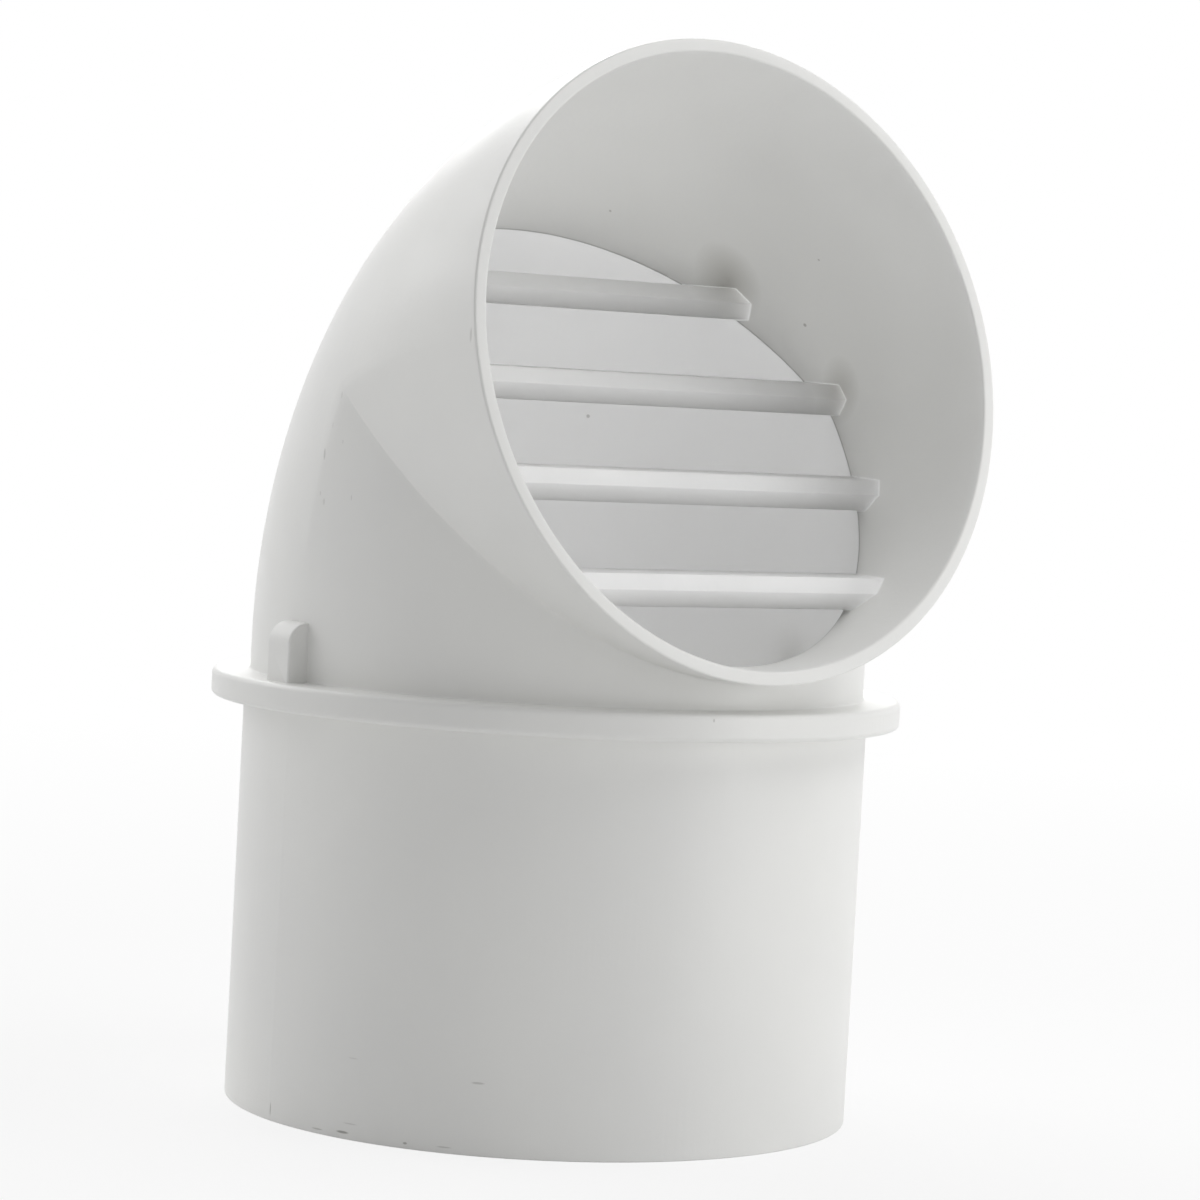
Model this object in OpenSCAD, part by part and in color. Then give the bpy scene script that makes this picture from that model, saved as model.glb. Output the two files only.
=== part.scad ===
// Wall vent cap: a hood bent from one pipe, with slats across its mouth and a spigot that
// slides into a ventilation pipe in the wall. The whole cap is one plastic moulding.
// The spigot's open end lies on z = 0, its axis is +Z, and the mouth looks toward -Y.

/* [Spigot] */
// Outside diameter of the spigot
spigot_od = 103; // [80:0.5:160]
// Length of the spigot below the flange
spigot_len = 65.8; // [20:0.1:150]
// Wall of the spigot
spigot_wall = 2.2; // [1.5:0.1:3]

/* [Flange] */
// How far the flange stands out past the spigot
flange_lip = 5.4; // [3.5:0.1:20]
// Thickness of the flange
flange_t = 4.4; // [2.5:0.1:10]
// Radius on the flange's two outer edges
flange_round = 0.9; // [0.2:0.1:1.2]

/* [Hood] */
// How far the hood's outside stands in from the spigot's outside
hood_inset = 0.8; // [0.2:0.1:2]
// Wall of the hood
hood_wall = 2.2; // [1.5:0.1:4]
// Straight pipe between the flange and the inside corner of the bend
throat_rise = 4.6; // [1:0.1:40]
// Distance along the mouth's axis from the spigot's axis to the rim
mouth_reach = 46.4; // [35:0.1:90]
// Angle by which the rim is cut off square, with its foot further out than its head
mouth_slant = 13.5; // [0:0.5:20]
// Step in the bore at the mitre, where the two halves of the core met
parting_step = 0.3; // [0.1:0.1:0.6]
// How much fuller the bend's tube is than the pipe, so that the two cross instead of touching
bend_ease = 0.05; // [0.03:0.01:0.1]

/* [Slats] */
// Number of slats across the bore
slat_count = 4; // [2:1:4]
// Height of a slat at its root
slat_h = 5.5; // [3:0.1:8]
// Depth of a slat along the mouth's axis, from its root to its ridge at mid height
slat_depth = 6.5; // [4.5:0.1:10]
// How far the ridge stands in front of the slat's upper and lower front edges
slat_ridge = 1.5; // [0.3:0.1:2]
// Draft on the upper and lower faces, in degrees
slat_draft = 2; // [0:0.5:4]
// Spacing of the slats along the mitre plane
slat_pitch = 21.9; // [16:0.1:22]
// Distance along the mitre plane from the bend's inside corner to the middle of the lowest slat
slat_first = 19.2; // [14:0.1:20]

/* [Lugs] */
// Width of a lug around the pipe
lug_w = 6.4; // [3:0.1:12]
// How far a lug stands out from the pipe, which is also the radius of its rounded top
lug_depth = 3.4; // [2:0.1:3.6]
// Height of a lug above the flange
lug_h = 9.5; // [5:0.1:20]

/* [Hidden] */
$fn = 96;
plastic = "#f2f2ee";

spigot_r = spigot_od / 2;
spigot_bore_r = spigot_r - spigot_wall;
flange_r = spigot_r + flange_lip;
flange_top = spigot_len + flange_t;
hood_r = spigot_r - hood_inset;
mouth_bore_r = hood_r - hood_wall;
back_bore_r = mouth_bore_r + parting_step;

// The bend is as tight as it can be: it turns about a line that touches the pipe
bend_r = hood_r;
throat_z = flange_top + throat_rise;
mouth_z = throat_z + bend_r;
mitre_lean = 45;

// Size of the blocks that cut the rest away, and how far a cutting shape runs past a face
span = 3 * spigot_od + mouth_reach + spigot_len;
cut_past = 1;

// Places what follows on the bend's inside corner, leaning back from horizontal
module at_throat(lean = 0)
    translate([0, -bend_r, throat_z])
        rotate([lean, 0, 0]) children();

// All the space below a plane through the inside corner
module below_plane(lean)
    at_throat(lean)
        translate([-span, -span, -2 * span]) cube(2 * span);

// All the space above a plane through the inside corner
module above_plane(lean)
    at_throat(lean)
        translate([-span, -span, 0]) cube(2 * span);

// All the space behind the rim's slanted plane, or behind one that lies further out
module behind_rim(past)
    translate([0, -mouth_reach, mouth_z])
        rotate([90 - mouth_slant, 0, 0])
            translate([-span, -span, past - 2 * span]) cube(2 * span);

// The bend's round tube and all the space inside its turn
module swept_bend(r) {
    tube_r = r + bend_ease;
    at_throat()
        rotate([0, 90, 0])
            rotate_extrude()
                union() {
                    translate([0, -tube_r]) square([bend_r, 2 * tube_r]);
                    intersection() {
                        translate([bend_r, 0]) circle(tube_r);
                        translate([bend_r, -tube_r]) square([tube_r, 2 * tube_r]);
                    }
                }
}

// The room that the bend leaves for the two straight pipes
module bend_room(r) {
    swept_bend(r);
    below_plane(0);
    above_plane(90);
}

// Upright pipe from the spigot's end to the mitre, rounded off by the bend, solid
module upright_half(r)
    intersection() {
        cylinder(h = mouth_z + span, r = r);
        below_plane(mitre_lean);
        bend_room(r);
    }

// Level pipe from the mitre to the rim or past it, rounded off by the bend, solid
module mouth_half(r, past = 0)
    intersection() {
        translate([0, span, mouth_z])
            rotate([90, 0, 0]) cylinder(h = 2 * span, r = r);
        above_plane(mitre_lean);
        bend_room(r);
        behind_rim(past);
    }

// The hood without its hollow
module hood() {
    upright_half(hood_r);
    mouth_half(hood_r);
}

// The hollow: spigot, a short taper through the flange, and the two halves of the bend
module bore() {
    translate([0, 0, -cut_past])
        cylinder(h = spigot_len + cut_past, r = spigot_bore_r);
    translate([0, 0, spigot_len])
        cylinder(h = flange_t, r1 = spigot_bore_r, r2 = back_bore_r);
    upright_half(back_bore_r);
    mouth_half(mouth_bore_r, cut_past);
}

// Spigot and flange turned as one, solid, the flange with two rounded edges
module spigot_and_flange()
    rotate_extrude()
        union() {
            square([spigot_r, flange_top]);
            translate([0, spigot_len]) square([flange_r - flange_round, flange_t]);
            translate([0, spigot_len + flange_round])
                square([flange_r, flange_t - 2 * flange_round]);
            for (z = [spigot_len + flange_round, flange_top - flange_round])
                translate([flange_r - flange_round, z]) circle(flange_round);
        }

// A lug on the flange against the pipe's +X side, its top rounded down from the pipe
module lug() {
    shoulder = lug_h - lug_depth;
    root = flange_t / 2;
    translate([0, lug_w / 2, flange_top])
        rotate([90, 0, 0])
            linear_extrude(height = lug_w)
                union() {
                    translate([hood_r - hood_wall / 2, -root])
                        square([hood_wall / 2, root + lug_h]);
                    translate([hood_r, -root]) square([lug_depth, root + shoulder]);
                    intersection() {
                        translate([hood_r, shoulder]) circle(lug_depth);
                        translate([hood_r, shoulder]) square(lug_depth);
                    }
                }
}

// Section of a slat, the mouth toward -X of the drawing and the root leaning with the mitre
module slat_section() {
    half_h = slat_h / 2;
    root_back = half_h / tan(mitre_lean);
    front = slat_depth - slat_ridge;
    upper_fall = (front + root_back) * tan(slat_draft);
    lower_rise = (front - root_back) * tan(slat_draft);
    polygon([
        [root_back, half_h], [-front, half_h - upper_fall], [-slat_depth, 0],
        [-front, -half_h + lower_rise], [-root_back, -half_h]
    ]);
}

// The row of slats, each running into the hood's wall at both ends
module slats()
    intersection() {
        for (i = [0 : slat_count - 1])
            at_throat(mitre_lean)
                translate([0, slat_first + i * slat_pitch, 0])
                    rotate([-mitre_lean, 0, 0])
                        rotate([90, 0, 90])
                            linear_extrude(height = 2 * hood_r, center = true)
                                slat_section();
        mouth_half(hood_r - hood_wall / 2);
    }

module vent_cap()
    color(plastic)
        union() {
            difference() {
                union() {
                    spigot_and_flange();
                    hood();
                    lug();
                    mirror([1, 0, 0]) lug();
                }
                bore();
            }
            slats();
        }

vent_cap();
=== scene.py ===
"""A white wall vent cap: spigot, flange and hooded mouth with slats, all of one plastic moulding.

Lengths are written in millimetres, in the part's own frame, and become metres where meshes are made.
"""

import logging
import math
from dataclasses import dataclass, field
from enum import Enum

import bmesh
import bpy
import numpy as np
from mathutils import Matrix, Vector


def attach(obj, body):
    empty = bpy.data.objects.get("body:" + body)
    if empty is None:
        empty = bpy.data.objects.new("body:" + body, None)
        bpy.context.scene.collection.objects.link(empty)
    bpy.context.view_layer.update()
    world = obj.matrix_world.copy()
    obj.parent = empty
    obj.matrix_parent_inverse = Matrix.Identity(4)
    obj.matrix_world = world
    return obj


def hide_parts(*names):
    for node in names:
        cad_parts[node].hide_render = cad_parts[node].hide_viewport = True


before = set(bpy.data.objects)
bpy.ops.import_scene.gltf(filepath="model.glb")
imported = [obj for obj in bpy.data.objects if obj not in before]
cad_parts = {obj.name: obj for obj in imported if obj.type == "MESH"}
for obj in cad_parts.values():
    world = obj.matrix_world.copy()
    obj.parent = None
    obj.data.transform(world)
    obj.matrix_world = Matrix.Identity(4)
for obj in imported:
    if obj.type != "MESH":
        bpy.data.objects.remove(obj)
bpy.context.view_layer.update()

MM = 0.001
BODY = "root"
CAP_NODE = "vent_cap"
PHOTO_PIXELS = 1200
SENSOR_MM = 36.0
MITRE_LEAN = math.radians(45)
WELD_DISTANCE = 0.0005
SHARP_FROM = 35.0
WHITE = (1, 1, 1, 1)

Colour = tuple[float, float, float]
FlatPoint = tuple[float, float]
Socket = bpy.types.NodeSocket
Tree = bpy.types.NodeTree

log = logging.getLogger("vent_cap")


# Small helpers

def direction(azimuth: float, elevation: float) -> Vector:
    """Points from the object toward a place round it.

    Args:
        azimuth: degrees round the object, 0 in front and 90 on its +X side.
        elevation: degrees above the horizon.

    Returns:
        A vector of length one.
    """
    a, e = math.radians(azimuth), math.radians(elevation)
    return Vector((math.sin(a) * math.cos(e), -math.cos(a) * math.cos(e), math.sin(e)))


def smooth_min(a: np.ndarray, b: np.ndarray, width: float | np.ndarray) -> np.ndarray:
    """Takes the smaller of two distances, with a fillet where they are alike.

    Args:
        a: one field of distances.
        b: another field of the same shape.
        width: difference over which the two run into each other.

    Returns:
        The blended field.
    """
    h = np.maximum(width - np.abs(a - b), 0) / width
    return np.minimum(a, b) - h * h * width / 4


def arc(centre: FlatPoint, radius: float, start: float, end: float, steps: int) -> list[FlatPoint]:
    """Lists points on a flat arc.

    Args:
        centre: the arc's centre.
        radius: its radius.
        start: its first angle in degrees.
        end: its last angle in degrees.
        steps: how many stretches it is divided into.

    Returns:
        The points, both ends among them.
    """
    angles = np.radians(np.linspace(start, end, steps + 1))
    return [(centre[0] + radius * math.cos(t), centre[1] + radius * math.sin(t)) for t in angles]


def rounded_outline(corners: list[FlatPoint], radii: list[float], steps: int) -> list[FlatPoint]:
    """Rounds the corners of a closed flat outline.

    Args:
        corners: the outline's corners in order.
        radii: the radius at each corner.
        steps: how many stretches each rounded corner has.

    Returns:
        The outline's points in the same order.
    """
    points = []
    for i, (corner, radius) in enumerate(zip(corners, radii)):
        here = Vector(corner)
        to_last = (Vector(corners[i - 1]) - here).normalized()
        to_next = (Vector(corners[(i + 1) % len(corners)]) - here).normalized()
        half = to_last.angle(to_next) / 2
        first = here + to_last * (radius / math.tan(half))
        last = here + to_next * (radius / math.tan(half))
        centre = here + (to_last + to_next).normalized() * (radius / math.sin(half))
        from_centre, to_end = (first - centre).normalized(), (last - centre).normalized()
        for j in range(steps + 1):
            points.append(tuple(centre + from_centre.slerp(to_end, j / steps) * radius))
    return points


def mesh_object(name: str, verts: np.ndarray, faces: list[tuple[int, ...]]) -> bpy.types.Object:
    """Makes a smooth-shaded mesh object from points in millimetres.

    Args:
        name: the object's name.
        verts: its points, one row each.
        faces: its faces as rows of point numbers.

    Returns:
        The object, at the origin, in the scene.
    """
    mesh = bpy.data.meshes.new(name)
    mesh.from_pydata((np.asarray(verts) * MM).tolist(), [], faces)
    mesh.validate()
    obj = bpy.data.objects.new(name, mesh)
    bpy.context.scene.collection.objects.link(obj)
    face_outward(obj)
    return obj


def face_outward(obj: bpy.types.Object) -> None:
    """Turns every face of a closed mesh outward and shades it smooth.

    Args:
        obj: the mesh object.
    """
    work = bmesh.new()
    work.from_mesh(obj.data)
    bmesh.ops.recalc_face_normals(work, faces=work.faces)
    if work.calc_volume(signed=True) < 0:
        bmesh.ops.reverse_faces(work, faces=work.faces)
    for face in work.faces:
        face.smooth = True
    work.to_mesh(obj.data)
    work.free()


def bake_modifiers(obj: bpy.types.Object) -> None:
    """Turns what an object's modifiers make into its plain mesh.

    Args:
        obj: the object.
    """
    graph = bpy.context.evaluated_depsgraph_get()
    made = bpy.data.meshes.new_from_object(obj.evaluated_get(graph))
    obj.modifiers.clear()
    obj.data = made


# Nodes

def feed(tree: Tree, node: bpy.types.Node, inputs: dict[str | int, object]) -> None:
    """Links or sets a node's inputs.

    Args:
        tree: the node's tree.
        node: the node.
        inputs: for each input, by name or number, a socket to link or a constant.
    """
    for key, value in inputs.items():
        if isinstance(value, Socket):
            tree.links.new(value, node.inputs[key])
        else:
            node.inputs[key].default_value = value


def add_node(tree: Tree, kind: str, inputs: dict[str | int, object] | None = None,
             **settings: str) -> bpy.types.Node:
    """Adds a node to a tree.

    Args:
        tree: the tree.
        kind: the node's type.
        inputs: for each input, by name or number, a socket to link or a constant.
        settings: the node's own choices, such as its operation.

    Returns:
        The node.
    """
    node = tree.nodes.new(kind)
    for name, choice in settings.items():
        setattr(node, name, choice)
    feed(tree, node, inputs or {})
    return node


def arithmetic(tree: Tree, kind: str, *values: Socket | float) -> Socket:
    """Adds one step of arithmetic to a tree.

    Args:
        tree: the tree.
        kind: the operation's name.
        values: its operands, as sockets or numbers.

    Returns:
        The result.
    """
    return add_node(tree, "ShaderNodeMath", dict(enumerate(values)), operation=kind).outputs["Value"]


def length_of(tree: Tree, vector: Socket) -> Socket:
    """Measures a vector."""
    return add_node(tree, "ShaderNodeVectorMath", {0: vector}, operation="LENGTH").outputs["Value"]


def map_range(tree: Tree, value: Socket, start: float, end: float, low: float = 0.0,
              high: float = 1.0) -> Socket:
    """Carries a value from one range to another and holds it at the ends.

    Args:
        tree: the tree.
        value: the value.
        start: where the first range starts.
        end: where it ends, which may be below its start.
        low: the result at the start.
        high: the result at the end.

    Returns:
        The carried value.
    """
    return add_node(tree, "ShaderNodeMapRange", {
        "Value": value, "From Min": start, "From Max": end, "To Min": low, "To Max": high,
    }).outputs["Result"]


# Finishes

@dataclass(frozen=True)
class Mark:
    """A stroke or spot, or a soft patch of painted shade, with its half sizes round the cap, up it
    and into the wall.
    """

    at: tuple[float, float, float]
    half_width: float
    half_height: float
    dark: float
    full_within: float = 0.6
    into_wall: float = 0.8
    faded_by: float = 1.1


OUTSIDE_MARKS = (
    Mark((-51.5, -0.4, 1.9), 0.15, 1.20, 0.55),
    Mark((-48.5, -17.3, 1.1), 1.25, 0.22, 0.90),
    Mark((-50.0, -12.3, 0.8), 1.30, 0.13, 0.50),
    Mark((-43.5, -27.6, 0.9), 0.40, 0.20, 0.70),
    Mark((-39.7, -32.8, 1.0), 1.30, 0.12, 0.40),
    Mark((-48.0, -18.6, 2.6), 1.40, 0.12, 0.30),
    Mark((-36.4, -36.4, 11.4), 1.10, 0.20, 0.40),
    Mark((-48.0, -18.6, 12.9), 1.00, 0.12, 0.20),
    Mark((-50.4, -5.0, 106.5), 0.28, 1.00, 0.35),
    Mark((-49.9, -8.4, 115.9), 0.15, 0.60, 0.25),
    Mark((-50.2, -6.7, 111.1), 0.12, 0.50, 0.20),
    Mark((-49.8, -9.3, 108.6), 0.12, 0.40, 0.25),
    Mark((-49.3, -11.8, 100.0), 0.12, 0.50, 0.25),
    Mark((-50.5, -4.5, 100.3), 0.20, 0.40, 0.20),
    Mark((-50.4, -5.5, 99.0), 0.30, 0.60, 0.20),
    Mark((-9.7, -56.1, 69.3), 0.20, 0.30, 0.40),
    Mark((-50.7, -45.0, 126.0), 0.25, 1.20, 0.30),
)
# Painted shade: soft dark patches where the right ends of the two upper slats meet the bore's wall,
# darkening slat and wall alike.
SLAT_END_PAINTED_SHADE = (
    Mark((34.5, 4.6, 138.5), 5.0, 7.0, 0.55, 0.0, 8.0),
    Mark((46.0, -11.8, 121.0), 4.0, 5.5, 0.50, 0.0, 4.5),
)
# Specks in the mouth's bore, and the painted shade at the slats' ends.
MOUTH_MARKS_AND_SHADE = (
    Mark((43.4, -5.9, 131.7), 0.32, 0.32, 0.60),
    Mark((40.3, -12.6, 142.6), 0.20, 0.20, 0.45),
    Mark((14.1, 11.8, 149.1), 0.22, 0.22, 0.45),
) + SLAT_END_PAINTED_SHADE
# A speck behind the mitre, and the same painted shade at the slats' ends.
DEEP_MARKS_AND_SHADE = (Mark((26.3, 32.2, 114.1), 0.36, 0.36, 0.60),) + SLAT_END_PAINTED_SHADE


class Finish(Enum):
    """The cap's finishes, by their number on its faces: the outside, and the bore's two halves.

    All are one plastic. Light comes through the wall to the bore, more of it behind the mitre; the
    bore's colour is also painted paler, most of all behind the mitre and on the slats, as painted
    light.
    """

    OUTSIDE = 0
    MOUTH = 1
    DEEP = 2


@dataclass(frozen=True)
class MouldedPlastic:
    """White moulded plastic: faint clouds, fine grain, specks, a painted highlight on proud edges and
    hairline scratches.

    The scales of the patterns are in spots to the metre.
    """

    name: str
    colour: Colour = (0.87, 0.87, 0.85)
    shade: Colour = (0.835, 0.835, 0.82)
    cloud_scale: float = 22.0
    cloud_edges: tuple[float, float] = (0.35, 0.62)
    # Painted highlight on proud edges: its paler colour, how much of it shows, and the pointiness
    # over which it comes in.
    edge_highlight: Colour = (0.93, 0.93, 0.92)
    edge_highlight_share: float = 0.7
    edge_highlight_pointiness: tuple[float, float] = (0.53, 0.62)
    ior: float = 1.5
    roughness: tuple[float, float] = (0.36, 0.5)
    smear_scale: float = 90.0
    smear_edges: tuple[float, float] = (0.3, 0.7)
    translucency: float = 0.08
    translucent_depth: float = 1.5
    grain_scale: float = 1400.0
    grain_depth: float = 0.012
    scratch_scale: float = 900.0
    scratch_stretch: tuple[float, float, float] = (1.0, 1.0, 0.06)
    scratch_turn: tuple[float, float, float] = (0.12, 0.2, 0.0)
    scratch_depth: float = 0.02
    speck_and_shade: Colour = (0.34, 0.33, 0.31)
    speck_share: float = 0.035
    speck_radius: float = 0.32
    speck_core: float = 0.4
    speck_cell: float = 9.0
    marks_and_shade: tuple[Mark, ...] = ()
    mitre_line: float = 0.0
    mitre_line_edges: tuple[float, float] = (0.3, 0.15)

    def build(self) -> bpy.types.Material:
        """Makes the material.

        Returns:
            A node material that reads Object coordinates.
        """
        material = bpy.data.materials.new(self.name)
        material.use_nodes = True
        tree = material.node_tree
        place = add_node(tree, "ShaderNodeTexCoord").outputs["Object"]
        colour = self._blend(tree, self._noise(tree, place, self.cloud_scale, 2))
        # Painted highlight: proud edges made paler whatever the light.
        colour = self._paint_edge_highlight(tree, colour)
        colour = self._add_specks(tree, place, colour)
        # Each mark, and at the slats' ends soft patches of painted shade, darkened toward the same
        # dark colour.
        for mark in self.marks_and_shade:
            colour = self._mix(tree, self._stroke(tree, place, mark), colour, self.speck_and_shade)
        if self.mitre_line > 0:
            colour = self._mix(tree, self._line_at_mitre(tree, place), colour, self.speck_and_shade)
        smears = self._noise(tree, place, self.smear_scale, 2)
        bump = self._bump(tree, self._noise(tree, place, self.grain_scale, 2), self.grain_depth)
        bump = self._bump(tree, self._scratches(tree, place), self.scratch_depth, bump)
        feed(tree, tree.nodes["Principled BSDF"], {
            "Base Color": colour,
            "Roughness": map_range(tree, smears, *self.smear_edges, *self.roughness),
            "IOR": self.ior,
            "Normal": bump,
            "Subsurface Weight": self.translucency,
            "Subsurface Radius": (1.0, 1.0, 1.0),
            "Subsurface Scale": self.translucent_depth * MM,
        })
        return material

    def _noise(self, tree: Tree, place: Socket, scale: float, detail: float) -> Socket:
        """Adds a cloud pattern.

        Args:
            tree: the material's tree.
            place: the coordinates that it follows.
            scale: clouds to the metre.
            detail: how many finer layers it has.

        Returns:
            The pattern's value, from 0 to 1.
        """
        return add_node(tree, "ShaderNodeTexNoise", {
            "Vector": place, "Scale": scale, "Detail": detail,
        }).outputs["Fac"]

    def _blend(self, tree: Tree, clouds: Socket) -> Socket:
        """Runs from the shade to the plain colour as the clouds rise.

        Args:
            tree: the material's tree.
            clouds: the pattern.

        Returns:
            The colour.
        """
        ramp = add_node(tree, "ShaderNodeValToRGB", {"Fac": clouds})
        stops = ramp.color_ramp.elements
        for stop, position, colour in zip(stops, self.cloud_edges, (self.shade, self.colour)):
            stop.position = position
            stop.color = (*colour, 1)
        return ramp.outputs["Color"]

    def _mix(self, tree: Tree, share: Socket, under: Socket, over: Colour) -> Socket:
        """Lays one plain colour over another where a pattern is high.

        Args:
            tree: the material's tree.
            share: how much of the upper colour shows.
            under: the colour below.
            over: the colour on top.

        Returns:
            The mixed colour.
        """
        return add_node(tree, "ShaderNodeMix", {"Factor": share, "A": under, "B": (*over, 1)},
                        data_type="RGBA").outputs["Result"]

    def _paint_edge_highlight(self, tree: Tree, colour: Socket) -> Socket:
        """Paints proud edges a little paler, a painted highlight along them.

        Args:
            tree: the material's tree.
            colour: the colour so far.

        Returns:
            The colour with rubbed edges.
        """
        proud = add_node(tree, "ShaderNodeNewGeometry").outputs["Pointiness"]
        share = map_range(tree, proud, *self.edge_highlight_pointiness, high=self.edge_highlight_share)
        return self._mix(tree, share, colour, self.edge_highlight)

    def _add_specks(self, tree: Tree, place: Socket, colour: Socket) -> Socket:
        """Scatters a few dark specks.

        Args:
            tree: the material's tree.
            place: the coordinates that they follow.
            colour: the colour so far.

        Returns:
            The colour with specks.
        """
        cells = add_node(tree, "ShaderNodeTexVoronoi",
                         {"Vector": place, "Scale": 1 / (self.speck_cell * MM)})
        rim = self.speck_radius / self.speck_cell
        core = self.speck_core * self.speck_radius / self.speck_cell
        near = map_range(tree, cells.outputs["Distance"], rim, core)
        split = add_node(tree, "ShaderNodeSeparateColor", {"Color": cells.outputs["Color"]})
        chosen = arithmetic(tree, "LESS_THAN", split.outputs["Red"], self.speck_share)
        return self._mix(tree, arithmetic(tree, "MULTIPLY", near, chosen), colour, self.speck_and_shade)

    def _stroke(self, tree: Tree, place: Socket, mark: Mark) -> Socket:
        """Masks one mark, or one soft patch of painted shade.

        Args:
            tree: the material's tree.
            place: the coordinates that it follows.
            mark: the mark.

        Returns:
            How dark it is at a place, 0 away from it.
        """
        local = add_node(tree, "ShaderNodeMapping", {
            "Vector": place,
            "Location": Vector(mark.at) * MM,
            "Rotation": (0, 0, math.atan2(mark.at[1], mark.at[0])),
            "Scale": Vector((mark.into_wall, mark.half_width, mark.half_height)) * MM,
        }, vector_type="TEXTURE").outputs["Vector"]
        return map_range(tree, length_of(tree, local), mark.faded_by, mark.full_within,
                         high=mark.dark)

    def _line_at_mitre(self, tree: Tree, place: Socket) -> Socket:
        """Masks the thin line where the two halves of the core met.

        Args:
            tree: the material's tree.
            place: the coordinates that it follows.

        Returns:
            How dark the line is at a place.
        """
        upward = (0, -math.sqrt(0.5), math.sqrt(0.5))
        height = add_node(tree, "ShaderNodeVectorMath", {0: place, 1: upward},
                          operation="DOT_PRODUCT").outputs["Value"]
        plane = Bend().mitre_height
        start, end = [(plane + edge) * MM for edge in self.mitre_line_edges]
        return map_range(tree, height, start, end, high=self.mitre_line)

    def _scratches(self, tree: Tree, place: Socket) -> Socket:
        """Draws faint hairlines that run down the surface.

        Args:
            tree: the material's tree.
            place: the coordinates that they follow.

        Returns:
            Their height.
        """
        stretched = add_node(tree, "ShaderNodeMapping", {
            "Vector": place, "Rotation": self.scratch_turn, "Scale": self.scratch_stretch,
        }).outputs["Vector"]
        return self._noise(tree, stretched, self.scratch_scale, 1)

    def _bump(self, tree: Tree, height: Socket, depth: float, under: Socket | None = None
              ) -> Socket:
        """Raises the surface by a pattern.

        Args:
            tree: the material's tree.
            height: the pattern.
            depth: its height in millimetres.
            under: the relief that it is added to, if there is one.

        Returns:
            The normal.
        """
        inputs = {"Strength": 1.0, "Distance": depth * MM, "Height": height}
        if under is not None:
            inputs["Normal"] = under
        return add_node(tree, "ShaderNodeBump", inputs).outputs["Normal"]


FINISHES = {
    Finish.OUTSIDE: MouldedPlastic("white moulded plastic", marks_and_shade=OUTSIDE_MARKS),
    # The bore's two finishes are the one plastic with its colour painted paler, painted light for
    # what comes through the wall; behind the mitre and on the slats it is palest.
    Finish.MOUTH: MouldedPlastic(
        "plastic lit from behind a little", colour=(0.89, 0.89, 0.872), translucency=0.6,
        translucent_depth=5.0, marks_and_shade=MOUTH_MARKS_AND_SHADE, mitre_line=0.45),
    Finish.DEEP: MouldedPlastic(
        "plastic lit from behind", colour=(0.94, 0.94, 0.925), shade=(0.92, 0.92, 0.905),
        translucency=1.0, translucent_depth=10.0, marks_and_shade=DEEP_MARKS_AND_SHADE),
}


# The pipe and its bend

@dataclass(frozen=True)
class Cut:
    """A plane across the pipe that holds the X direction, given where it meets the pipe's middle."""

    y: float
    z: float
    lean: float

    def moved(self, forward: float) -> "Cut":
        """The same plane, moved along its normal toward the mouth."""
        return Cut(self.y - forward * math.sin(self.lean), self.z + forward * math.cos(self.lean),
                   self.lean)


@dataclass
class Bend:
    """The pipe's path: upright, then round a right angle as tight as the pipe allows, then level."""

    turn: float = 50.7
    throat_z: float = 74.8
    throat_fillet: float = 0.6
    side_fillet: float = 16.0
    least_facing: float = 1e-6
    ridge_steps: int = 720

    @property
    def mouth_z(self) -> float:
        """Height of the mouth's axis."""
        return self.throat_z + self.turn

    @property
    def mitre_height(self) -> float:
        """Distance of the mitre's plane from the origin."""
        return (self.throat_z + self.turn) * math.sqrt(0.5)

    def distance(self, x: np.ndarray, y: np.ndarray, z: np.ndarray, radius: float) -> np.ndarray:
        """Measures how far points lie outside a pipe of some radius on this path.

        Args:
            x: the points' x.
            y: their y.
            z: their z.
            radius: the pipe's radius.

        Returns:
            The distances, negative inside.
        """
        facing = np.maximum(1 - (x / radius) ** 2, self.least_facing)
        upright = np.hypot(x, np.minimum(y, 0)) - radius
        level = np.hypot(x, np.minimum(z - self.mouth_z, 0)) - radius
        front = smooth_min(upright, level, self.throat_fillet * facing)
        behind = np.hypot(y + self.turn, z - self.throat_z) - self.turn
        behind = np.where(y < -self.turn, z - self.mouth_z, behind)
        behind = np.where(z < self.throat_z, y, behind)
        turned = np.hypot(x, np.maximum(behind, 0)) - radius
        return -smooth_min(-front, -turned, self.side_fillet * facing)

    def ridge(self, radius: float) -> np.ndarray:
        """Follows the line at the pipe's side where its straight walls run out into the bend.

        Args:
            radius: the pipe's radius.

        Returns:
            Points of the line at +X, from the upright pipe to the mouth.
        """
        turned = np.radians(np.linspace(0, 90, self.ridge_steps + 1))
        half = np.minimum(turned, math.pi / 2 - turned) / 2
        out = self.turn * np.tan(half) ** 2
        reach = self.turn + out
        return np.column_stack([np.sqrt(radius ** 2 - out ** 2), reach * np.cos(turned) - self.turn,
                                reach * np.sin(turned) + self.throat_z])

    def ridge_angle(self, cut: Cut, radius: float) -> float:
        """Finds where that line crosses a cut.

        Args:
            cut: the cut.
            radius: the pipe's radius.

        Returns:
            The angle round the cut's middle, 0 at the front.
        """
        line = self.ridge(radius)
        away = (line[:, 2] - cut.z) * math.cos(cut.lean) - (line[:, 1] - cut.y) * math.sin(cut.lean)
        if away[0] > 0:
            return math.pi / 2
        i = int(np.argmax(away > 0)) if (away > 0).any() else len(away) - 1
        share = away[i - 1] / (away[i - 1] - away[i])
        x, y, z = line[i - 1] + share * (line[i] - line[i - 1])
        along = (y - cut.y) * math.cos(cut.lean) + (z - cut.z) * math.sin(cut.lean)
        return math.atan2(x, -along)


class Wall(Enum):
    """The two sides of the pipe's wall."""

    OUTSIDE = "outside"
    BORE = "bore"


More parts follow.
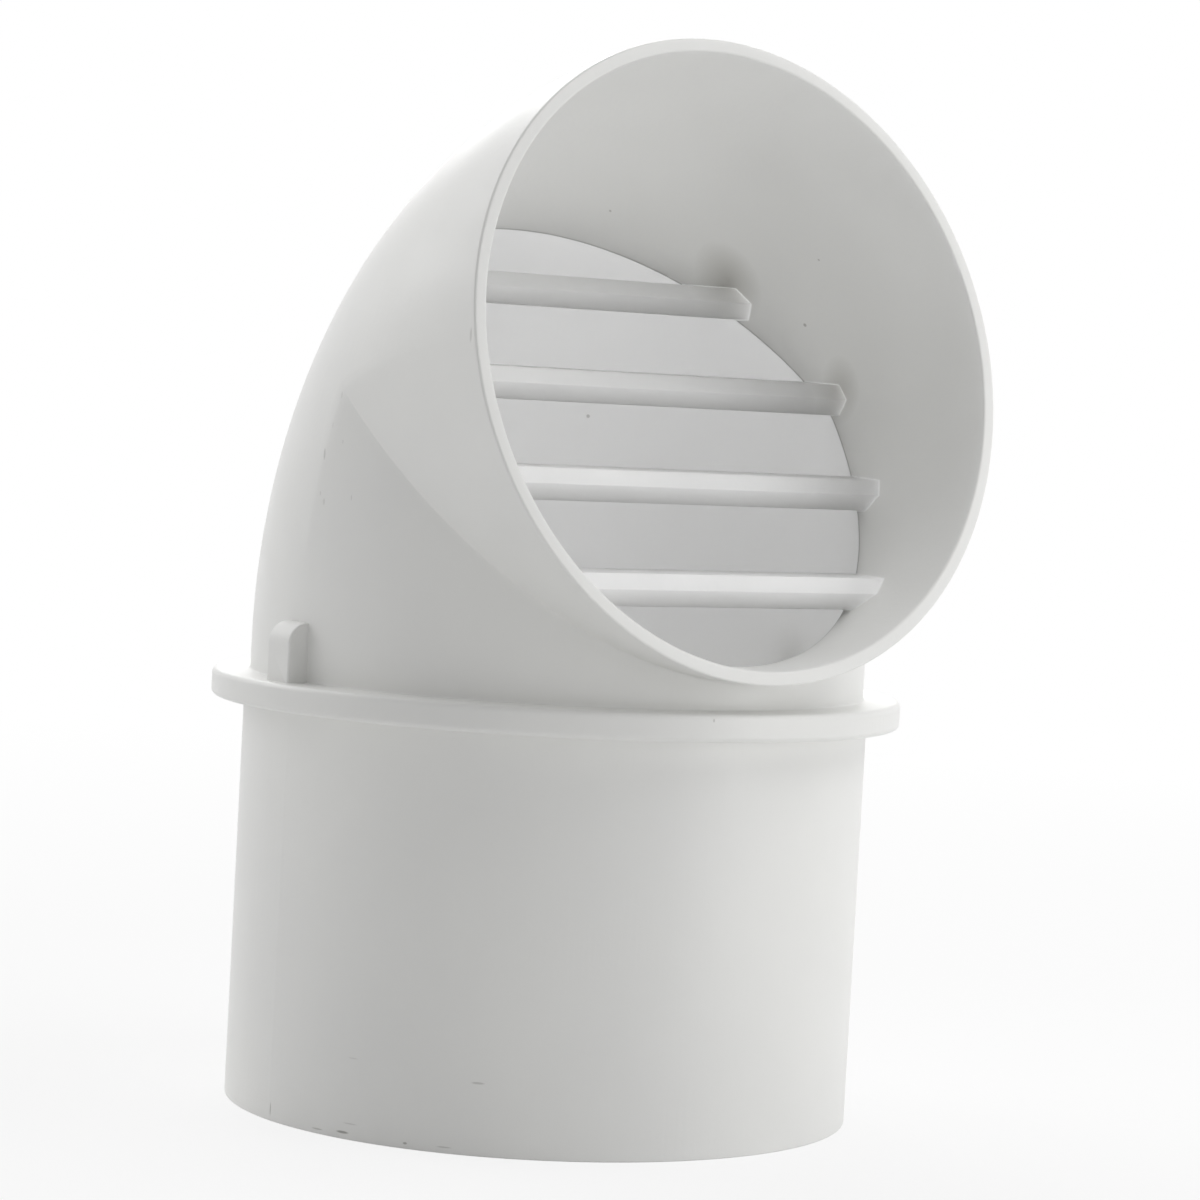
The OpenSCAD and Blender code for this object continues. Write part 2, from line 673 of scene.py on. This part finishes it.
@dataclass
class CapBody:
    """The spigot, flange and hood: one closed skin of rings with the same number of points."""

    bend: Bend = field(default_factory=Bend)
    spigot_r: float = 51.5
    spigot_bore_r: float = 49.3
    spigot_len: float = 65.8
    spigot_round: float = 0.25
    flange_r: float = 56.9
    flange_t: float = 4.4
    flange_round: float = 0.9
    flange_fillet: float = 0.35
    hood_r: float = 50.7
    back_bore_r: float = 48.8
    mouth_bore_r: float = 48.5
    mouth_reach: float = 46.4
    mouth_slant: float = 13.5
    rim_round: float = 0.4
    rim_angles: tuple[float, ...] = (22, 45, 68, 90)
    rim_shares: tuple[float, ...] = (0.35, 0.65)
    edge_steps: int = 4
    flange_steps: int = 6
    spigot_rings: int = 12
    spigot_end: float = 2.0
    front_rays: int = 56
    rear_rays: int = 56
    beside_ridge: tuple[float, ...] = (0.004, 0.012, 0.022)
    upright_rings: int = 58
    level_rings: int = 54
    beside_mitre: tuple[float, ...] = (-0.008, -0.003, 0.003, 0.008)
    search_to: float = 3.0
    halvings: int = 44
    flash_seed: int = 7
    flash_patches: int = 18
    flash_height: float = 0.14
    flash_forward: float = 0.4
    seam_height: float = 0.05
    seam_angle: float = 0.004
    seam_between: tuple[float, float] = (49.8, 56.8)

    def rays(self, ridge_angle: float) -> np.ndarray:
        """Spreads the points of a ring, closer together beside the side ridge.

        Args:
            ridge_angle: where the ridge lies, 0 at the front.

        Returns:
            The angles of the ring's points, all the way round.
        """
        near = np.array(self.beside_ridge)
        front = np.concatenate([np.linspace(0, 1, self.front_rays)[:-1], 1 - near])
        front = np.sort(front) * ridge_angle
        rear = np.concatenate([np.linspace(0, 1, self.rear_rays), near])
        rear = ridge_angle + np.sort(rear) * (math.pi - ridge_angle)
        half = np.concatenate([front, rear])
        return np.concatenate([half, -half[-2:0:-1]])

    def ring(self, cut: Cut, radius: float, inset: float = 0.0) -> np.ndarray:
        """Finds the pipe's outline on a cut.

        Args:
            cut: the cut.
            radius: the pipe's radius.
            inset: how far the outline is drawn in toward the middle.

        Returns:
            The ring's points.
        """
        angles = self.rays(self.bend.ridge_angle(cut, radius))
        side, along = np.sin(angles), -np.cos(angles)
        low, high = np.zeros_like(angles), np.full_like(angles, self.search_to * radius)
        for _ in range(self.halvings):
            middle = (low + high) / 2
            outside = self.bend.distance(middle * side, cut.y + middle * along * math.cos(cut.lean),
                                         cut.z + middle * along * math.sin(cut.lean), radius) > 0
            low, high = np.where(outside, low, middle), np.where(outside, middle, high)
        reach = low - inset
        return np.column_stack([reach * side, cut.y + reach * along * math.cos(cut.lean),
                                cut.z + reach * along * math.sin(cut.lean)])

    def round_ring(self, radius: float, z: float) -> np.ndarray:
        """Makes a level round ring, with the mould's seam a little proud at its two sides.

        Args:
            radius: the ring's radius.
            z: its height.

        Returns:
            The ring's points.
        """
        angles = self.rays(math.pi / 2)
        off_seam = np.abs(np.abs(angles) - math.pi / 2) / self.seam_angle
        first, last = self.seam_between
        seam = np.exp(-off_seam ** 2) * self.seam_height
        reach = radius + (seam if first <= radius <= last else 0)
        return np.column_stack([reach * np.sin(angles), -reach * np.cos(angles),
                                np.full_like(angles, z)])

    def rim_cut(self) -> Cut:
        """The plane of the rim."""
        return Cut(-self.mouth_reach, self.bend.mouth_z, math.radians(90 - self.mouth_slant))

    def fan(self, first: Cut, last: Cut, count: int) -> list[Cut]:
        """Turns a plane from one cut to another about the line where they meet.

        A few more planes stand close beside the mitre, to keep its crease crisp.

        Args:
            first: the first cut.
            last: the last cut.
            count: how many steps the turn has.

        Returns:
            The cuts, both ends among them.
        """
        a, b = first.lean, last.lean
        det = math.sin(b - a)
        gap_y, gap_z = last.y - first.y, last.z - first.z
        t = (gap_y * math.sin(b) - gap_z * math.cos(b)) / det
        hinge_y, hinge_z = first.y + t * math.cos(a), first.z + t * math.sin(a)
        beside = [MITRE_LEAN + off for off in self.beside_mitre if a < MITRE_LEAN + off < b]
        cuts = []
        for lean in np.sort(np.concatenate([np.linspace(a, b, count + 1), beside])):
            if last.lean <= MITRE_LEAN:
                y, z = 0.0, hinge_z - hinge_y * math.tan(lean)
            else:
                z = self.bend.mouth_z
                y = hinge_y + (z - hinge_z) / math.tan(lean)
            cuts.append(Cut(float(y), float(z), float(lean)))
        return cuts

    def pipe_rings(self, wall: Wall) -> tuple[list[np.ndarray], list[np.ndarray]]:
        """Lists the rings of one side of the hood's wall, from the flange to the rim.

        Args:
            wall: the side.

        Returns:
            The rings up to the mitre, and those from there to where the rim starts to round.
        """
        outside = wall is Wall.OUTSIDE
        foot = Cut(0, self.spigot_len + self.flange_t + self.flange_fillet, 0)
        mitre = Cut(0, self.bend.mouth_z, MITRE_LEAN)
        mouth = self.rim_cut().moved(-self.rim_round)
        back_r = self.hood_r if outside else self.back_bore_r
        front_r = self.hood_r if outside else self.mouth_bore_r
        rings = [self.ring(c, back_r) for c in self.fan(foot, mitre, self.upright_rings)]
        level = [self.ring(c, front_r) for c in self.fan(mitre, mouth, self.level_rings)]
        return rings, (level[1:] if outside else level)

    def rim_rings(self) -> list[np.ndarray]:
        """Lists the rings over the rim, from its outer to its inner edge.

        Returns:
            The rings in order, the outer edge rough where the mould leaked a little.
        """
        plane, r, rings = self.rim_cut(), self.rim_round, []
        for turned in np.radians(self.rim_angles):
            rings.append(self.ring(plane.moved(r * math.sin(turned) - r), self.hood_r,
                                   r * (1 - math.cos(turned))))
        rings[1] = self._with_flash(rings[1])
        for share in self.rim_shares:
            outer, inner = self.ring(plane, self.hood_r, r), self.ring(plane, self.mouth_bore_r, -r)
            rings.append(outer + share * (inner - outer))
        for turned in np.radians(self.rim_angles[::-1]):
            rings.append(self.ring(plane.moved(r * math.sin(turned) - r), self.mouth_bore_r,
                                   -r * (1 - math.cos(turned))))
        return rings

    def _with_flash(self, ring: np.ndarray) -> np.ndarray:
        """Roughens the rim's outer edge on its left and lower side.

        Args:
            ring: the edge's points.

        Returns:
            The points with small uneven flash.
        """
        draw = np.random.default_rng(self.flash_seed)
        count, last = len(ring), self.flash_patches
        bumps = draw.random(count) ** 3
        patches = np.interp(np.linspace(0, last, count), np.arange(last + 1),
                            draw.random(last + 1) ** 2)
        low_left = np.clip((-ring[:, 0] - (ring[:, 2] - self.bend.mouth_z)) / self.hood_r, 0, 1)
        forward = np.array([0, -math.cos(math.radians(self.mouth_slant)), 0])
        height = (bumps * patches * low_left * self.flash_height)[:, None]
        return ring + height * self.flash_forward * forward

    def turned_rings(self) -> list[np.ndarray]:
        """Lists the round rings from the pipe over the flange, down the spigot and up its bore.

        Returns:
            The rings in order.
        """
        top, base, end = self.spigot_len + self.flange_t, self.spigot_len, self.spigot_end
        fr, ff, sr = self.flange_round, self.flange_fillet, self.spigot_round
        pipe, lip, steps = self.hood_r, self.flange_r, self.edge_steps
        profile = arc((pipe + ff, top + ff), ff, 180, 270, steps)[1:]
        profile += arc((lip - fr, top - fr), fr, 90, 0, self.flange_steps)
        profile += arc((lip - fr, base + fr), fr, 0, -90, self.flange_steps)
        profile += arc((self.spigot_r + ff, base - ff), ff, 90, 180, steps)
        profile += [(self.spigot_r, z) for z in np.linspace(base - end, end, self.spigot_rings)]
        profile += arc((self.spigot_r - sr, sr), sr, 0, -90, steps)
        profile += arc((self.spigot_bore_r + sr, sr), sr, -90, -180, steps)
        profile += [(self.spigot_bore_r, z) for z in np.linspace(end, base, self.spigot_rings)]
        profile += [(self.back_bore_r, top)]
        return [self.round_ring(r, z) for r, z in profile]

    def build(self) -> bpy.types.Object:
        """Makes the body.

        Returns:
            The body as one closed mesh, the bore's two halves marked for their own finishes.
        """
        upright, level = self.pipe_rings(Wall.OUTSIDE)
        rings = (upright + level)[::-1] + self.turned_rings()
        deep_from = len(rings) - 1
        upright, level = self.pipe_rings(Wall.BORE)
        rings += upright
        deep_to = len(rings)
        rings += level
        mouth_to = len(rings)
        rings += self.rim_rings()[::-1]
        count, around = len(rings), len(rings[0])
        faces = []
        for i in range(count):
            for k in range(around):
                a, b = i * around, ((i + 1) % count) * around
                n = (k + 1) % around
                faces.append((a + k, a + n, b + n, b + k))
        body = mesh_object("vent_cap_moulding", np.concatenate(rings), faces)
        ring_of = np.repeat(np.arange(count), around)
        finish = np.zeros(len(faces), dtype=np.int32)
        finish[(ring_of >= deep_from) & (ring_of < mouth_to)] = Finish.MOUTH.value
        finish[(ring_of >= deep_from) & (ring_of < deep_to)] = Finish.DEEP.value
        body.data.polygons.foreach_set("material_index", finish)
        return body


# The slats and the lugs

@dataclass
class SlatRow:
    """The slats across the mouth: one section, repeated up the mitre and run into the bore's wall."""

    bend: Bend = field(default_factory=Bend)
    count: int = 4
    height: float = 5.5
    depth: float = 6.5
    ridge: float = 1.5
    draft: float = 2.0
    pitch: float = 21.9
    first: float = 19.2
    edge_round: float = 0.25
    ridge_round: float = 0.125
    root_round: float = 0.12
    round_steps: int = 3
    wall_r: float = 48.5
    buried_r: float = 49.6
    end_fillet: float = 0.15
    fillet_steps: int = 5
    fillet_crowding: float = 1.5
    fillet_foot: float = 1.5

    def section(self) -> list[FlatPoint]:
        """Draws the section, its root leaning with the mitre and its ridge toward the mouth.

        Returns:
            The rounded outline as y and z from the root's middle.
        """
        half = self.height / 2
        front = self.depth - self.ridge
        slope = math.tan(math.radians(self.draft))
        corners = [(half, half), (-front, half - (front + half) * slope), (-self.depth, 0),
                   (-front, -half + (front - half) * slope), (-half, -half)]
        edge, root = self.edge_round, self.root_round
        return rounded_outline(corners, [root, edge, self.ridge_round, edge, root], self.round_steps)

    def one_slat(self) -> bpy.types.Object:
        """Makes one slat whose x is the radius that each ring of points is carried out to.

        Returns:
            The slat, closed at both ends, swelling where it meets the wall.
        """
        outline = np.array(self.section())
        tangent = np.roll(outline, -1, axis=0) - np.roll(outline, 1, axis=0)
        normal = np.column_stack([tangent[:, 1], -tangent[:, 0]])
        normal /= np.linalg.norm(normal, axis=1, keepdims=True)
        if np.sum(normal * (outline - outline.mean(axis=0))) < 0:
            normal = -normal
        f = self.end_fillet
        steps = np.linspace(0, 1, self.fillet_steps + 1) ** self.fillet_crowding
        gaps = [(f * s, f - math.sqrt(f * f - (f - f * s) ** 2)) for s in steps]
        rings = [(self.buried_r, f)] + [(self.wall_r - gap, swell) for gap, swell in gaps]
        rings += [(self.wall_r - self.fillet_foot * f, 0.0)]
        rings += [(-x, swell) for x, swell in rings[::-1]]
        verts, around = [], len(outline)
        for x, swell in rings:
            verts.append(np.column_stack([np.full(around, x), outline + normal * swell]))
        faces = [tuple(range(around)), tuple(range(len(rings) * around - 1,
                                                   (len(rings) - 1) * around - 1, -1))]
        for i in range(len(rings) - 1):
            for k in range(around):
                n = (k + 1) % around
                faces.append((i * around + k, i * around + n, (i + 1) * around + n,
                              (i + 1) * around + k))
        return mesh_object("slat_row", np.concatenate(verts), faces)

    def tree(self) -> Tree:
        """Builds the Geometry Nodes tree that repeats a slat and carries its ends to the wall.

        Returns:
            The tree, with an input for each of its sizes.
        """
        tree = bpy.data.node_groups.new("slat row", "GeometryNodeTree")
        for name, kind in (("Geometry", "Geometry"), ("Count", "Int"), ("First", "Vector"),
                           ("Step", "Vector"), ("Turn", "Float"), ("Throat Y", "Float"),
                           ("Throat Z", "Float"), ("Material", "Material")):
            tree.interface.new_socket(name, in_out="INPUT", socket_type=f"NodeSocket{kind}")
        tree.interface.new_socket("Geometry", in_out="OUTPUT", socket_type="NodeSocketGeometry")
        given = add_node(tree, "NodeGroupInput").outputs
        line = add_node(tree, "GeometryNodeMeshLine", {
            "Count": given["Count"], "Start Location": given["First"], "Offset": given["Step"],
        })
        copies = add_node(tree, "GeometryNodeInstanceOnPoints", {
            "Points": line.outputs["Mesh"], "Instance": given["Geometry"],
        })
        real = add_node(tree, "GeometryNodeRealizeInstances",
                        {"Geometry": copies.outputs["Instances"]})
        placed = add_node(tree, "GeometryNodeSetPosition", {
            "Geometry": real.outputs["Geometry"], "Position": self._carried(tree, given),
        })
        dressed = add_node(tree, "GeometryNodeSetMaterial", {
            "Geometry": placed.outputs["Geometry"], "Material": given["Material"],
        })
        add_node(tree, "NodeGroupOutput", {"Geometry": dressed.outputs["Geometry"]})
        return tree

    def _carried(self, tree: Tree, given: bpy.types.NodeOutputs) -> Socket:
        """Works out where a slat's point lies once its x has been carried to the wall.

        Args:
            tree: the tree.
            given: the tree's inputs.

        Returns:
            The new position.
        """
        position = add_node(tree, "GeometryNodeInputPosition").outputs["Position"]
        x, y, z = add_node(tree, "ShaderNodeSeparateXYZ", {"Vector": position}).outputs
        in_front = arithmetic(tree, "SUBTRACT", y, given["Throat Y"])
        above = arithmetic(tree, "SUBTRACT", z, given["Throat Z"])
        squares = arithmetic(tree, "ADD", arithmetic(tree, "MULTIPLY", in_front, in_front),
                             arithmetic(tree, "MULTIPLY", above, above))
        behind = arithmetic(tree, "SUBTRACT", arithmetic(tree, "SQRT", squares), given["Turn"])
        below = arithmetic(tree, "SUBTRACT", given["Turn"], above)
        off = arithmetic(tree, "MAXIMUM", arithmetic(tree, "MAXIMUM", behind, below), 0.0)
        room = arithmetic(tree, "SUBTRACT", arithmetic(tree, "MULTIPLY", x, x),
                          arithmetic(tree, "MULTIPLY", off, off))
        reach = arithmetic(tree, "SQRT", arithmetic(tree, "MAXIMUM", room, 0.0))
        signed = arithmetic(tree, "MULTIPLY", reach, arithmetic(tree, "SIGN", x))
        return add_node(tree, "ShaderNodeCombineXYZ", {"X": signed, "Y": y, "Z": z}
                        ).outputs["Vector"]

    def build(self, plastic: bpy.types.Material) -> bpy.types.Object:
        """Makes the row.

        Args:
            plastic: its material.

        Returns:
            The row as one plain mesh.
        """
        row = self.one_slat()
        tree = self.tree()
        along = Vector((0, math.cos(MITRE_LEAN), math.sin(MITRE_LEAN)))
        corner = Vector((0, -self.bend.turn, self.bend.throat_z))
        values = {
            "Count": self.count, "First": (corner + along * self.first) * MM,
            "Step": along * self.pitch * MM, "Turn": self.bend.turn * MM,
            "Throat Y": -self.bend.turn * MM, "Throat Z": self.bend.throat_z * MM,
            "Material": plastic,
        }
        modifier = row.modifiers.new("slat row", "NODES")
        modifier.node_group = tree
        for socket in tree.interface.items_tree:
            if socket.in_out == "INPUT" and socket.name in values:
                modifier[socket.identifier] = values[socket.name]
        bake_modifiers(row)
        face_outward(row)
        return row


class Side(Enum):
    """The cap's two sides, as the sign of X."""

    LEFT = -1
    RIGHT = 1


@dataclass
class Lug:
    """A lug on the flange against the pipe's side, its top rounded down from the pipe."""

    width: float = 6.4
    depth: float = 3.4
    height: float = 9.5
    pipe_r: float = 50.7
    foot_z: float = 70.2
    buried: float = 1.0
    top_steps: int = 16
    edge_round: float = 0.35
    round_steps: int = 3
    bevel_over: float = 30.0

    def build(self, name: str, side: Side, plastic: bpy.types.Material) -> bpy.types.Object:
        """Makes the lug.

        Args:
            name: its name.
            side: where it stands.
            plastic: its material.

        Returns:
            The lug as one closed mesh.
        """
        shoulder = self.foot_z + self.height - self.depth
        outline = [(self.pipe_r - self.buried, self.foot_z - self.buried)]
        outline += [(self.pipe_r + self.depth, self.foot_z - self.buried)]
        outline += arc((self.pipe_r, shoulder), self.depth, 0, 90, self.top_steps)
        outline += [(self.pipe_r - self.buried, self.foot_z + self.height)]
        n = len(outline)
        half = self.width / 2
        verts = [(side.value * x, y, z) for y in (-half, half) for x, z in outline]
        faces = [tuple(range(n)), tuple(range(2 * n - 1, n - 1, -1))]
        faces += [(k, (k + 1) % n, n + (k + 1) % n, n + k) for k in range(n)]
        lug = mesh_object(name, np.array(verts), faces)
        work = bmesh.new()
        work.from_mesh(lug.data)
        sharp = [e for e in work.edges if e.calc_face_angle(0) > math.radians(self.bevel_over)]
        bmesh.ops.bevel(work, geom=sharp, offset=self.edge_round * MM, segments=self.round_steps,
                        profile=0.5, affect="EDGES", clamp_overlap=True)
        work.to_mesh(lug.data)
        work.free()
        face_outward(lug)
        lug.data.materials.append(plastic)
        return lug


# The one skin

def fuse(body: bpy.types.Object, others: list[bpy.types.Object],
         finishes: list[bpy.types.Material]) -> None:
    """Unites parts with the body into the one closed skin that a moulding has.

    A weld closes the slits that a union can leave, which are far too small to see.

    Args:
        body: the object that keeps the result.
        others: the parts that run into it, which are used up.
        finishes: the finishes by the faces' numbers.
    """
    for finish in finishes:
        body.data.materials.append(finish)
    for other in others:
        union = body.modifiers.new("union", "BOOLEAN")
        union.operation = "UNION"
        union.solver = "EXACT"
        union.material_mode = "TRANSFER"
        union.object = other
    weld = body.modifiers.new("weld", "WELD")
    weld.merge_threshold = WELD_DISTANCE * MM
    bake_modifiers(body)
    body.data.set_sharp_from_angle(angle=math.radians(SHARP_FROM))
    weighted = body.modifiers.new("weighted", "WEIGHTED_NORMAL")
    weighted.keep_sharp = True
    bake_modifiers(body)
    for other in others:
        bpy.data.objects.remove(other)


# The studio

@dataclass(frozen=True)
class Lamp:
    """A soft square lamp, its place and aim in metres and degrees."""

    name: str
    azimuth: float
    elevation: float
    watts: float
    away: float = 1.3
    side: float = 0.7
    aim: tuple[float, float, float] = (0.0, 0.0, 0.085)

    def place(self) -> None:
        """Hangs the lamp and turns it toward its aim."""
        light = bpy.data.lights.new(self.name, "AREA")
        light.size = self.side
        light.energy = self.watts
        lamp = bpy.data.objects.new(self.name, light)
        toward = direction(self.azimuth, self.elevation)
        lamp.location = Vector(self.aim) + toward * self.away
        lamp.rotation_euler = toward.to_track_quat("Z", "Y").to_euler()
        bpy.context.scene.collection.objects.link(lamp)


@dataclass
class Studio:
    """A pale floor, a white surround and soft lamps, with lengths in metres."""

    ambient: float = 0.34
    floor_side: float = 8.0
    floor_colour: tuple[float, float, float, float] = (0.82, 0.82, 0.82, 1)
    floor_white: float = 0.8
    shadow_reach: float = 0.2
    white_from: float = 0.7
    lamps: tuple[Lamp, ...] = (
        Lamp("left back lamp", -150.0, 30.0, 3.4),
        Lamp("right back lamp", 150.0, 30.0, 4.2),
        Lamp("back lamp", 180.0, 50.0, 3.5),
        Lamp("left lamp", -115.0, 10.0, 0.9),
        Lamp("floor lamp", 0.0, 89.0, 1.4, 0.5, 0.4, (0.3, -0.25, 0.0)),
        Lamp("low card", 30.0, 0.0, 0.5, 0.5, 0.25),
    )

    def seen(self, tree: Tree) -> Socket:
        """Tells whether a ray comes from the camera, a gloss or a glass.

        Args:
            tree: the tree that asks.

        Returns:
            1 for such a ray and 0 for others.
        """
        path = add_node(tree, "ShaderNodeLightPath").outputs
        gloss_or_camera = arithmetic(tree, "MAXIMUM", path["Is Camera Ray"], path["Is Glossy Ray"])
        return arithmetic(tree, "MAXIMUM", gloss_or_camera, path["Is Transmission Ray"])

    def surround(self) -> None:
        """Sets the world: a plain ambient light that shows as white."""
        world = bpy.data.worlds.new("surround")
        bpy.context.scene.world = world
        world.use_nodes = True
        tree = world.node_tree
        light = tree.nodes["Background"]
        feed(tree, light, {"Color": WHITE, "Strength": self.ambient})
        shown = add_node(tree, "ShaderNodeBackground", {"Color": WHITE, "Strength": 1.0})
        mix = add_node(tree, "ShaderNodeMixShader", {
            0: self.seen(tree), 1: light.outputs["Background"], 2: shown.outputs["Background"],
        })
        feed(tree, tree.nodes["World Output"], {"Surface": mix.outputs["Shader"]})

    def floor_material(self) -> bpy.types.Material:
        """Makes the floor's finish.

        Returns:
            A pale finish that shows nearly white and keeps a soft shadow.
        """
        material = bpy.data.materials.new("pale floor")
        material.use_nodes = True
        tree = material.node_tree
        tree.nodes.remove(tree.nodes["Principled BSDF"])
        paint = add_node(tree, "ShaderNodeBsdfDiffuse", {"Color": self.floor_colour})
        glow = add_node(tree, "ShaderNodeEmission")
        away = length_of(tree, add_node(tree, "ShaderNodeTexCoord").outputs["Object"])
        white = map_range(tree, away, self.shadow_reach, self.white_from, self.floor_white)
        mix = add_node(tree, "ShaderNodeMixShader", {
            0: arithmetic(tree, "MULTIPLY", self.seen(tree), white),
            1: paint.outputs["BSDF"], 2: glow.outputs["Emission"],
        })
        feed(tree, tree.nodes["Material Output"], {"Surface": mix.outputs["Shader"]})
        material.cycles.emission_sampling = "NONE"
        return material

    def build(self) -> bpy.types.Object:
        """Sets up the surround, the floor and the lamps.

        Returns:
            The floor.
        """
        self.surround()
        half = self.floor_side / 2
        corners = [(-half, -half, 0), (half, -half, 0), (half, half, 0), (-half, half, 0)]
        mesh = bpy.data.meshes.new("floor")
        mesh.from_pydata(corners, [], [(0, 1, 2, 3)])
        floor = bpy.data.objects.new("floor", mesh)
        bpy.context.scene.collection.objects.link(floor)
        mesh.materials.append(self.floor_material())
        for lamp in self.lamps:
            lamp.place()
        return floor


@dataclass(frozen=True)
class PhotoCamera:
    """The camera where the photograph was taken, its lens in pixels of a square frame."""

    azimuth: float = -35.70
    elevation: float = 3.005
    roll: float = 3.107
    away: float = 669.4
    focal_pixels: float = 4043.2
    aim_right: float = 6.40
    aim_z: float = 84.15
    clip_end: float = 100.0

    def build(self) -> bpy.types.Object:
        """Makes the camera the scene's own.

        Returns:
            The camera.
        """
        back = direction(self.azimuth, self.elevation)
        turned = math.radians(self.azimuth)
        right = Vector((math.cos(turned), math.sin(turned), 0))
        up = back.cross(right)
        roll = math.radians(self.roll)
        axis_x = right * math.cos(roll) + up * math.sin(roll)
        axis_y = up * math.cos(roll) - right * math.sin(roll)
        place = right * self.aim_right + Vector((0, 0, self.aim_z)) + back * self.away
        data = bpy.data.cameras.new("photo camera")
        data.sensor_width = SENSOR_MM
        data.sensor_fit = "HORIZONTAL"
        data.lens = self.focal_pixels * SENSOR_MM / PHOTO_PIXELS
        data.clip_end = self.clip_end
        camera = bpy.data.objects.new("photo camera", data)
        turn = Matrix((axis_x, axis_y, back)).transposed()
        camera.matrix_world = Matrix.Translation(place * MM) @ turn.to_4x4()
        bpy.context.scene.collection.objects.link(camera)
        bpy.context.scene.camera = camera
        return camera


# The whole scene

def main() -> None:
    """Builds the cap, dresses it and sets the studio round it."""
    logging.basicConfig(level=logging.INFO, format="%(message)s")
    bpy.context.scene.view_settings.view_transform = "Standard"
    PhotoCamera().build()
    finishes = [FINISHES[finish].build() for finish in Finish]
    bend = Bend()
    cap = CapBody(bend).build()
    parts = [
        # The slats take the deep finish, whose colour is painted palest as painted light.
        SlatRow(bend).build(finishes[Finish.DEEP.value]),
        Lug().build("lug_right", Side.RIGHT, finishes[Finish.OUTSIDE.value]),
        Lug().build("lug_left", Side.LEFT, finishes[Finish.OUTSIDE.value]),
    ]
    fuse(cap, parts, finishes)
    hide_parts(CAP_NODE)
    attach(cap, BODY)
    log.info("%s: %d faces", cap.name, len(cap.data.polygons))
    Studio().build()


if __name__ == "__main__":
    main()
